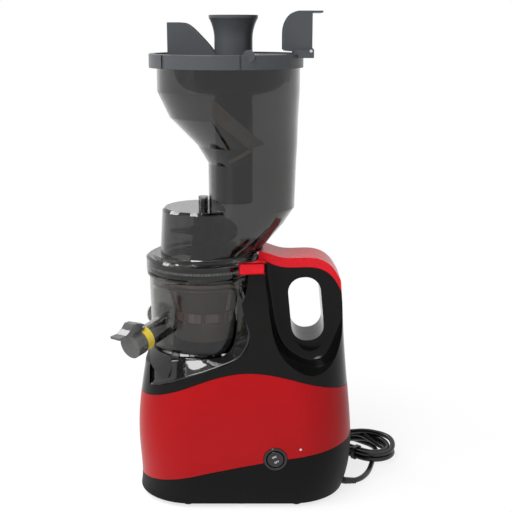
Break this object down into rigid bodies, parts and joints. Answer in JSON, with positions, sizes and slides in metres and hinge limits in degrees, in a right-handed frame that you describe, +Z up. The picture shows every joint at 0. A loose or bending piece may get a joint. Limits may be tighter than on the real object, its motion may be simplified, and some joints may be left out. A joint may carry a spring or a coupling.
{
  "type": "cold press juicer",
  "caption": "Upright slow screw juicer with a handled motor base, a clear juice bowl with a capped spout, a tall clear hopper, a pusher and a folding loading tray.",
  "frame": {"origin": "on the table, on the drive axis shared by the screw, the bowl and the hopper's lock", "axes": "+Z up along the drive axis; +X towards the carrying handle; -Y towards the switch and the spout's side"},
  "size_m": [0.3155, 0.2544, 0.5235],
  "materials": {
    "housing_black": "gloss, smooth",
    "tub_black": "fine textured, matte",
    "red_metallic": "metallic red lacquer, satin",
    "switch_black": "satin",
    "switch_body": "plain",
    "lens_clear": "clear",
    "foot_rubber": "matte",
    "screw_steel": "plain",
    "gearbox_grey": "glass filled nylon",
    "bush_bronze": "sintered bronze",
    "gear_nylon": "natural acetal",
    "gear_steel": "sintered steel",
    "copper": "enamelled copper",
    "carbon": "carbon",
    "fan_white": "moulded",
    "board_green": "circuit board",
    "bowl_smoke": "clear smoky grey",
    "seal_silicone": "soft, translucent",
    "auger_grey": "glass filled, satin",
    "wiper_pink": "satin",
    "wiper_silicone": "soft",
    "strainer_frame": "satin",
    "mesh_steel": "perforated",
    "spout_yellow": "soft yellow",
    "cap_smoke": "dark smoky",
    "cover_grey": "satin dark grey",
    "cord_black": "matte"
  },
  "bodies": {
    "base": {"base_tub": "tub_black", "red_band": "red_metallic", "front_housing": "housing_black", "rear_housing": "housing_black", "handle_cap": "red_metallic", "bowl_seat": "housing_black", "base_plate": "tub_black", "rubber_feet": "foot_rubber", "base_plate_screws": "screw_steel", "switch_bezel": "switch_black", "switch_module": "switch_body", "indicator_lens": "lens_clear", "gearbox_case": "gearbox_grey", "gearbox_lid": "gearbox_grey", "gearbox_screws": "screw_steel", "gear_pins": "screw_steel", "output_bushes": "bush_bronze", "shaft_seal": "foot_rubber", "motor_can": "gear_steel", "motor_mount": "foot_rubber", "field_core": "gear_steel", "field_coils": "copper", "motor_bearings": "screw_steel", "brush_holders": "switch_body", "carbon_brushes": "carbon", "control_board": "board_green", "cord_gland": "cord_black", "power_cord": "cord_black", "cord_coil": "cord_black", "plug": "cord_black"},
    "rocker": {"switch_rocker": "switch_black"},
    "rotor": {"motor_shaft": "screw_steel", "armature_core": "gear_steel", "armature_windings": "copper", "commutator": "copper", "cooling_fan": "fan_white"},
    "first_stage": {"first_gear": "gear_nylon"},
    "second_stage": {"second_gear": "gear_nylon"},
    "drive_shaft": {"output_shaft": "screw_steel", "output_gear": "gear_steel"},
    "juice_bowl": {"bowl": "bowl_smoke", "bowl_seal": "seal_silicone", "strainer": "strainer_frame", "strainer_mesh": "mesh_steel", "pulp_plug": "seal_silicone", "spout_seal": "spout_yellow", "spout_cap_pin": "screw_steel"},
    "auger_screw": {"auger": "auger_grey", "auger_top_pin": "screw_steel"},
    "pinion": {"wiper_pinion": "gear_nylon"},
    "wiper": {"wiper_cage": "wiper_pink", "wiper_blades": "wiper_silicone"},
    "juice_cap": {"spout_cap": "cap_smoke"},
    "hopper_body": {"hopper": "bowl_smoke", "hopper_seal": "seal_silicone"},
    "cover": {"hopper_cover": "cover_grey", "tray_pin": "screw_steel"},
    "tray": {"feed_tray": "cover_grey"},
    "pusher_body": {"pusher": "cover_grey"}
  },
  "joints": [
    {"name": "motor_spin", "type": "hinge", "parent": "base", "child": "rotor", "pos_m": [0.09052, -0.00002, 0.06], "axis": [0, 0, 1], "continuous": true},
    {"name": "first_gear_spin", "type": "hinge", "parent": "base", "child": "first_stage", "pos_m": [0.062, -0.00403, 0.103], "axis": [0, 0, 1], "continuous": true},
    {"name": "second_gear_spin", "type": "hinge", "parent": "base", "child": "second_stage", "pos_m": [0.03801, 0.01398, 0.112], "axis": [0, 0, 1], "continuous": true},
    {"name": "drive_shaft_spin", "type": "hinge", "parent": "base", "child": "drive_shaft", "pos_m": [0, 0, 0.124], "axis": [0, 0, 1], "continuous": true},
    {"name": "bowl_lift", "type": "slide", "parent": "base", "child": "juice_bowl", "axis": [0, 0, 1], "range_m": [0, 0.06]},
    {"name": "auger_spin", "type": "hinge", "parent": "juice_bowl", "child": "auger_screw", "pos_m": [0, 0, 0.2], "axis": [0, 0, 1], "continuous": true},
    {"name": "wiper_pinion_spin", "type": "hinge", "parent": "juice_bowl", "child": "pinion", "pos_m": [0.01609, 0.0135, 0.177], "axis": [0, 0, 1], "continuous": true},
    {"name": "wiper_cage_spin", "type": "hinge", "parent": "juice_bowl", "child": "wiper", "pos_m": [0, 0, 0.205], "axis": [0, 0, 1], "continuous": true},
    {"name": "spout_cap_hinge", "type": "hinge", "parent": "juice_bowl", "child": "juice_cap", "pos_m": [-0.06383, -0.08169, 0.20737], "axis": [-0.788, 0.6157, 0], "range_deg": [0, 100]},
    {"name": "hopper_twist", "type": "hinge", "parent": "juice_bowl", "child": "hopper_body", "pos_m": [0, 0, 0.256], "axis": [0, 0, 1], "range_deg": [0, 30]},
    {"name": "cover_lift", "type": "slide", "parent": "hopper_body", "child": "cover", "axis": [0, 0, 1], "range_m": [0, 0.06]},
    {"name": "tray_fold", "type": "hinge", "parent": "cover", "child": "tray", "pos_m": [0.113, 0, 0.4835], "axis": [0, 1, 0], "range_deg": [0, 90]},
    {"name": "pusher_lift", "type": "slide", "parent": "cover", "child": "pusher_body", "axis": [0, 0, 1], "range_m": [0, 0.16]},
    {"name": "switch_rock", "type": "hinge", "parent": "base", "child": "rocker", "pos_m": [0.0776, -0.0831, 0.0612], "axis": [0.8988, 0, 0.4384], "range_deg": [-6, 6]}
  ],
  "couplings": [
    {"joint": "first_gear_spin", "follows": "motor_spin", "ratio": -0.2},
    {"joint": "second_gear_spin", "follows": "motor_spin", "ratio": 0.05},
    {"joint": "drive_shaft_spin", "follows": "motor_spin", "ratio": -0.014286},
    {"joint": "auger_spin", "follows": "motor_spin", "ratio": -0.014286},
    {"joint": "wiper_pinion_spin", "follows": "motor_spin", "ratio": 0.019048},
    {"joint": "wiper_cage_spin", "follows": "motor_spin", "ratio": 0.0057143}
  ]
}
